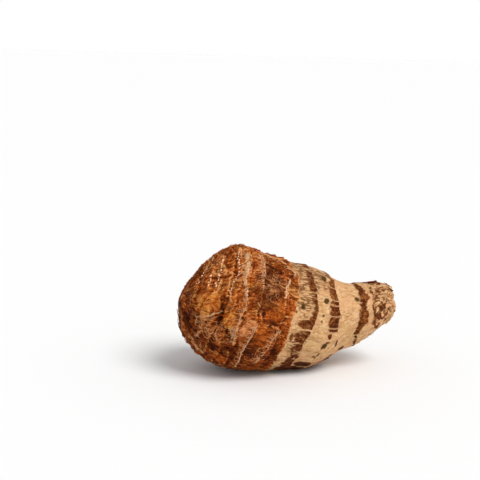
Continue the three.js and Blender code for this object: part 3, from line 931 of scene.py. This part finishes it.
# Rows of pale beads, painted highlights where the torn husk edge catches the light: strength and points
BEAD_ROWS = [
    (1, [(17.3, 8), (14.7, 22), (13.7, 32.5), (12.6, 41), (11.2, 52.5), (10.9, 56.5)]),
    (0.9, [(10.9, 26), (10.6, 32), (9.6, 41.5), (9, 52.5)]),
    (0.8, [(10.9, 2), (8, 8), (6.5, 18.5), (6.2, 30)]),
    (0.9, [(22.6, 12), (20.9, 24), (20.4, 35), (19.9, 42), (17.6, 49.5), (16.4, 58.5), (16, 66)]),
    (0.5, [(25.8, 12), (25.6, 32), (23, 44)]),
    (0.5, [(31.4, 12), (30.6, 30), (29.6, 50)]),
    (0.5, [(7, 110), (7.2, 127), (9.4, 138)]),
    (0.5, [(13, 98), (12.4, 108), (13.4, 118)]),
    (0.7, [(14, -30), (12, -64), (12.4, -96)]),
    (0.7, [(20, -120), (19, -150), (19.6, -176)]),
]
BEAD_STEP, BEAD_SIZES, BEADS_MISSING = 0.85, (0.26, 0.54), 0.2


def make_beads(random):
    places, angles, sizes = [], [], []
    for strength, points in BEAD_ROWS:
        for (from_, from_angle), (to, to_angle) in zip(points, points[1:]):
            mean_radius = float(radius_at((from_ + to) / 2))
            length = math.hypot(to - from_, math.radians(to_angle - from_angle) * mean_radius)
            for share in np.arange(0, 1, BEAD_STEP / length):
                share += random.uniform(-0.3, 0.3) / length
                if random.uniform() < BEADS_MISSING:
                    continue
                places.append(from_ + (to - from_) * share + random.normal(0, 0.2))
                angles.append(math.radians(from_angle + (to_angle - from_angle) * share))
                sizes.append(strength * random.uniform(*BEAD_SIZES))
    along, angle, size = np.array(places), np.array(angles), np.array(sizes)
    point, _mark, _grain = skin_height(along, angle)
    outward = outward_at(along, angle)
    middle = point + 0.12 * outward
    lengthwise = np.cross(outward, FAR_SIDE)
    lengthwise /= np.linalg.norm(lengthwise, axis=-1, keepdims=True)
    aside = np.cross(outward, lengthwise)
    reach = size[:, None]
    corners = np.stack([
        middle + reach * outward, middle + 1.3 * reach * lengthwise, middle + reach * aside,
        middle - 1.3 * reach * lengthwise, middle - reach * aside, middle - reach * outward,
    ], axis=1)
    sides = [(0, 1, 2), (0, 2, 3), (0, 3, 4), (0, 4, 1), (5, 2, 1), (5, 3, 2), (5, 4, 3), (5, 1, 4)]
    faces = [tuple(6 * bead + corner for corner in side) for bead in range(len(along)) for side in sides]
    return new_piece("husk_beads", corners.reshape(-1, 3), faces)


# Materials


def srgb(red, green, blue):
    """A colour given by its 0 to 255 screen values, as linear light."""
    shares = (red / 255, green / 255, blue / 255)
    return (*(c / 12.92 if c <= 0.04045 else ((c + 0.055) / 1.055) ** 2.4 for c in shares), 1.0)


# the darkest husk colour, also the painted shade of crevices
DARKEST_HUSK_AND_SHADE = srgb(56, 17, 2)
DARK_HUSK = srgb(98, 38, 4)
BROWN_HUSK = srgb(134, 61, 13)
RUST_HUSK = srgb(166, 77, 20)
ORANGE_HUSK = srgb(199, 111, 45)
TAN_HUSK = srgb(216, 152, 90)
ROSY_HUSK = srgb(182, 100, 46)
ROSY_PALE = srgb(220, 150, 98)
OLIVE_HUSK = srgb(142, 88, 36)
OLIVE_PALE = srgb(204, 158, 100)
# pale fibre colour, also the painted highlight on the rims and pale lines
PALE_FIBRE = srgb(230, 184, 138)
# painted glint colour of the beads
PAINTED_GLINT = srgb(250, 208, 170)
GREY_HAIR = srgb(142, 98, 62)
BUD_ORANGE = srgb(193, 110, 35)
BUD_TAN = srgb(216, 150, 78)
BAND_DARK = srgb(60, 22, 3)
BAND_BROWN = srgb(96, 42, 8)
BAND_LIGHT = srgb(160, 98, 48)
SKIN_BROWN = srgb(150, 98, 54)
SKIN_DARK = srgb(176, 124, 76)
SKIN = srgb(204, 158, 110)
SKIN_PALE = srgb(226, 188, 142)
SKIN_ROSY = srgb(214, 160, 116)
SKIN_YELLOW = srgb(206, 168, 108)
LINE_BROWN = srgb(108, 62, 26)
DOT_BROWN = srgb(70, 48, 12)


SPECULAR = 0.05


class Nodes:
    """Short calls that add linked nodes to a material or a world."""

    def __init__(self, owner):
        owner.use_nodes = True
        self.tree = owner.node_tree
        self.tree.nodes.clear()

    def add(self, kind, inputs=None, **settings):
        node = self.tree.nodes.new("ShaderNode" + kind)
        for name, value in settings.items():
            setattr(node, name, value)
        for name, value in (inputs or {}).items():
            if hasattr(value, "is_linked"):
                self.tree.links.new(value, node.inputs[name])
            else:
                node.inputs[name].default_value = value
        return node

    def field(self, name, output="Fac"):
        return self.add("Attribute", attribute_name=name).outputs[output]

    def vectors(self, operation, first, second):
        return self.add("VectorMath", {0: first, 1: second}, operation=operation).outputs[0]

    def math(self, operation, first, second=0.0):
        return self.add("Math", {0: first, 1: second}, operation=operation).outputs[0]

    def times(self, value, factor):
        return self.math("MULTIPLY", value, factor)

    def total(self, *values):
        result = values[0]
        for value in values[1:]:
            result = self.math("ADD", result, value)
        return result

    def lean(self, value):
        """How far a noise is from its middle."""
        return self.math("SUBTRACT", value, 0.5)

    def noise(self, vector, stretch, detail=3.0, roughness=0.55, output="Fac"):
        """Noise whose features are about stretch millimetres long on each axis."""
        place = self.vectors("MULTIPLY", vector, [1 / length for length in stretch])
        inputs = {"Vector": place, "Scale": 1.0, "Detail": detail, "Roughness": roughness}
        return self.add("TexNoise", inputs).outputs[output]

    def thread(self, vector, stretch, width):
        """Thin wavy lines, 1 in their middle, where a noise crosses its mean."""
        value = self.math("ABSOLUTE", self.lean(self.noise(vector, stretch, 1.0)))
        return self.step(value, width, 0.3 * width)

    def step(self, value, low, high, start=0.0, end=1.0):
        inputs = {"Value": value, "From Min": low, "From Max": high, "To Min": start, "To Max": end}
        return self.add("MapRange", inputs, interpolation_type="SMOOTHSTEP").outputs["Result"]

    def ramp(self, value, *stops):
        node = self.add("ValToRGB", {"Fac": value})
        elements = node.color_ramp.elements
        while len(elements) < len(stops):
            elements.new(0.5)
        for element, (place, colour) in zip(elements, stops):
            element.position = place
            element.color = colour
        return node.outputs["Color"]

    def mix(self, factor, first, second):
        return self.add("Mix", {0: factor, 6: first, 7: second}, data_type="RGBA").outputs[2]

    def surface(self, colour, roughness, specular=SPECULAR, **inputs):
        inputs.update({"Base Color": colour, "Roughness": roughness, "Specular IOR Level": specular})
        shader = self.add("BsdfPrincipled", inputs)
        self.add("OutputMaterial", {"Surface": shader.outputs[0]})


def bare_skin(n, rough, nearly_straight):
    """Pale tan with faint lines along it, and darker wavy lines in places."""
    skin = n.ramp(n.total(rough(1.3, 1.0, 0.8), 0.5), (0.2, SKIN_DARK), (0.5, SKIN), (0.8, SKIN_PALE))
    broad = n.noise(n.field("grain", "Vector"), (11.0, 8.0, 8.0), 2)
    skin = n.mix(n.times(n.step(broad, 0.5, 0.68), 0.6), skin, SKIN_ROSY)
    skin = n.mix(n.times(n.step(broad, 0.46, 0.3), 0.35), skin, SKIN_YELLOW)
    wavy = n.thread(nearly_straight, (6.0, 1.3, 1.3), 0.12)
    lines = n.field("lines")
    line = n.times(wavy, n.step(n.total(lines, rough(mottle=1.6), 0.08), 0.25, 0.7))
    tint = n.step(n.total(n.times(lines, 0.5), rough(1.6)), 0.3, 0.9)
    skin = n.mix(n.times(tint, 0.35), skin, SKIN_BROWN)
    return n.mix(n.times(line, 0.85), skin, LINE_BROWN)


def husk_tone(n, rough, threads, cracks):
    """Lightness of the husk, from dark crevices to pale fibres, with painted shade in the recesses and
    below each ring's step and a painted highlight along the ring crests.
    """
    liveliness = n.total(1.0, n.times(n.field("calm"), -0.45))
    tone = n.total(n.times(rough(1.7, 0.7, 1.2), liveliness), n.field("tone"), 0.48)
    tone = n.total(tone, n.times(threads, 0.26), n.times(cracks, -0.24))
    # Painted highlight: lighter just before each ring, most in the highlight zones
    rows = n.total(n.times(n.field("painted_highlight"), 0.32), 0.1)
    painted_crest_highlight = n.times(n.step(n.field("before"), 1.1, 0.1), rows)
    # Painted shade: darker just past each ring, below the husk's step
    painted_step_shade = n.times(n.step(n.field("after"), 0.9, 0.1), -0.26)
    return n.total(tone, painted_crest_highlight, painted_step_shade, n.times(n.field("dark_and_shade"), -0.45))


def husk_colour(n, rough, tone):
    """The husk's colours by tone, each kind of patch with its own."""
    husk = n.ramp(
        tone, (0.06, DARKEST_HUSK_AND_SHADE), (0.26, DARK_HUSK), (0.44, BROWN_HUSK), (0.6, RUST_HUSK), (0.78, ORANGE_HUSK),
        (1.0, TAN_HUSK),
    )
    olive = n.ramp(tone, (0.1, DARK_HUSK), (0.5, OLIVE_HUSK), (0.9, OLIVE_PALE))
    patchy = n.step(n.noise(n.field("grain", "Vector"), (8.0, 6.0, 6.0), 2), 0.48, 0.62)
    husk = n.mix(n.times(patchy, 0.6), husk, olive)
    band = n.ramp(n.total(tone, rough(grit=0.3)), (0.05, BAND_DARK), (0.5, BAND_BROWN), (1.0, BAND_LIGHT))
    husk = n.mix(n.field("band"), husk, band)
    orange = n.ramp(
        tone, (0.0, DARK_HUSK), (0.2, BROWN_HUSK), (0.42, RUST_HUSK), (0.68, ORANGE_HUSK), (1.0, TAN_HUSK)
    )
    husk = n.mix(n.step(n.field("orange"), 0.2, 0.8), husk, orange)
    bud = n.ramp(
        n.total(tone, 0.08), (0.05, DARK_HUSK), (0.3, RUST_HUSK), (0.55, BUD_ORANGE), (0.85, BUD_TAN)
    )
    husk = n.mix(n.field("bud"), husk, bud)
    rosy = n.ramp(tone, (0.05, BROWN_HUSK), (0.35, ROSY_HUSK), (0.8, ROSY_PALE))
    husk = n.mix(n.times(n.field("rosy"), 0.85), husk, rosy)
    hair = n.ramp(tone, (0.15, DARKEST_HUSK_AND_SHADE), (0.38, DARK_HUSK), (0.6, GREY_HAIR), (0.9, TAN_HUSK))
    husk = n.mix(n.times(n.field("hairy"), 0.8), husk, hair)
    # pale lines: pale husk fibre, with painted highlight along the ring edges
    pale_lines_and_highlights = n.step(n.total(n.field("pale"), rough(1.0, 1.0, 0.8)), 0.35, 0.8)
    return n.mix(n.times(pale_lines_and_highlights, 0.85), husk, PALE_FIBRE)


def skin_material():
    material = bpy.data.materials.new("corm_skin")
    n = Nodes(material)
    straight = n.field("grain", "Vector")
    bend = n.noise(straight, (3.5, 3.5, 3.5), 2, 0.5, "Color")
    bend = n.vectors("SUBTRACT", bend, (0.5, 0.5, 0.5))
    grain = n.vectors("ADD", straight, n.vectors("MULTIPLY", bend, (3.0, 3.0, 3.0)))
    nearly_straight = n.vectors("ADD", straight, n.vectors("MULTIPLY", bend, (1.1, 1.1, 1.1)))
    streak = n.noise(grain, (6.0, 0.9, 0.9), 4)
    mottle = n.noise(grain, (2.4, 1.8, 1.8), 4, 0.6)
    grit = n.noise(straight, (0.7, 0.5, 0.5), 3, 0.6)
    threads = n.thread(grain, (5.0, 1.3, 1.3), 0.035)
    cracks = n.thread(grain, (4.0, 2.6, 2.6), 0.05)

    leans = {"streak": n.lean(streak), "grit": n.lean(grit), "mottle": n.lean(mottle)}

    def rough(streak=0, grit=0, mottle=0):
        """The three noises round zero, mixed by these factors."""
        factors = {"streak": streak, "grit": grit, "mottle": mottle}
        return n.total(*(n.times(leans[name], factor) for name, factor in factors.items() if factor))

    skin = bare_skin(n, rough, nearly_straight)
    husk = husk_colour(n, rough, husk_tone(n, rough, threads, cracks))
    cover = n.total(n.field("husk"), rough(0.8, 0.5, 0.3))
    colour = n.mix(n.step(cover, 0.22, 0.86), skin, husk)
    scar = n.step(n.total(n.field("scar"), rough(grit=1.0)), 0.1, 0.9)
    colour = n.mix(n.times(scar, 0.95), colour, DOT_BROWN)

    relief = n.total(n.times(streak, 0.6), n.times(grit, 0.6), n.times(threads, 0.3))
    bump = n.add("Bump", {"Height": relief, "Strength": 0.8, "Distance": 0.0004})
    roughness = n.total(n.times(n.field("husk"), 0.1), 0.5)
    n.surface(colour, roughness, Normal=bump.outputs["Normal"])
    return material


def fibre_material():
    material = bpy.data.materials.new("husk_fibre")
    n = Nodes(material)
    place = n.add("TexCoord").outputs["Object"]
    grain = n.noise(place, (0.9 * MM, 0.9 * MM, 0.9 * MM), 3)
    shade = n.total(n.field("shade"), n.times(n.lean(grain), 0.5))
    colour = n.ramp(
        shade, (0.0, DARK_HUSK), (0.3, BROWN_HUSK), (0.55, RUST_HUSK), (0.75, TAN_HUSK), (0.95, PALE_FIBRE)
    )
    n.surface(colour, 0.45)
    return material


# Beads whose pale colour is a painted glint
def bead_material():
    material = bpy.data.materials.new("painted_glint_bead")
    Nodes(material).surface(PAINTED_GLINT, 0.35)
    return material


# Scene


def make_camera():
    across = np.array([math.cos(VIEW_AZIMUTH), math.sin(VIEW_AZIMUTH), 0.0])
    back = np.array([
        math.sin(VIEW_AZIMUTH) * math.cos(VIEW_ELEVATION),
        -math.cos(VIEW_AZIMUTH) * math.cos(VIEW_ELEVATION),
        math.sin(VIEW_ELEVATION),
    ])
    up = np.cross(back, across)
    right = across * math.cos(VIEW_ROLL) + up * math.sin(VIEW_ROLL)
    up = up * math.cos(VIEW_ROLL) - across * math.sin(VIEW_ROLL)
    distance = FOCAL_PIXELS * MM_PER_PIXEL
    middle = FRAME_PIXELS / 2
    to_right = (AXIS_START_PIXEL[0] - middle) * MM_PER_PIXEL
    to_top = (middle - AXIS_START_PIXEL[1]) * MM_PER_PIXEL
    place = AXIS_START - to_right * right - to_top * up + distance * back
    lens = bpy.data.cameras.new("camera")
    lens.lens = LENS_MM
    lens.sensor_width = SENSOR_MM
    camera = new_object("camera", lens)
    axes = np.column_stack([right, up, back, place * MM])
    camera.matrix_world = Matrix([*axes.tolist(), (0, 0, 0, 1)])
    bpy.context.scene.camera = camera


def make_light():
    """A wide soft key from above, in front and to the right."""
    light = bpy.data.lights.new("key", "SUN")
    light.energy = KEY_STRENGTH
    light.angle = KEY_WIDTH
    new_object("key", light).rotation_euler = Vector(KEY_FROM).to_track_quat("Z", "Y").to_euler()


def make_world():
    """A pale room, white at the horizon and a little dimmer overhead."""
    world = bpy.data.worlds.new("studio")
    n = Nodes(world)
    direction = n.add("TexCoord").outputs["Generated"]
    height = n.add("SeparateXYZ", {0: direction}).outputs["Z"]
    strength = n.step(height, HORIZON_TOP, SKY_FOOT, HORIZON_STRENGTH, SKY_STRENGTH)
    backdrop = n.add("Background", {"Color": (1, 1, 1, 1), "Strength": strength})
    n.add("OutputWorld", {"Surface": backdrop.outputs[0]})
    bpy.context.scene.world = world


def make_floor():
    corners = [(x * FLOOR_REACH, y * FLOOR_REACH, 0) for x, y in ((-1, -1), (1, -1), (1, 1), (-1, 1))]
    mesh = bpy.data.meshes.new("floor")
    mesh.from_pydata(corners, [], [(0, 1, 2, 3)])
    floor = new_object("floor", mesh)
    material = bpy.data.materials.new("floor")
    Nodes(material).surface(FLOOR_COLOUR, FLOOR_ROUGHNESS, FLOOR_SPECULAR)
    floor.data.materials.append(material)


random = np.random.default_rng(11)
skin = make_skin()
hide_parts("corm")
shreds = make_shreds(random)
hairs = make_hairs(random)
beads = make_beads(random)
rims = make_rims(random)
fibre = fibre_material()
for piece, material in (
    (skin, skin_material()), (shreds, fibre), (hairs, fibre), (beads, bead_material()), (rims, fibre),
):
    piece.data.materials.append(material)
    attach(piece, "root")

make_camera()
bpy.context.scene.view_settings.view_transform = "Standard"
make_light()
make_world()
make_floor()
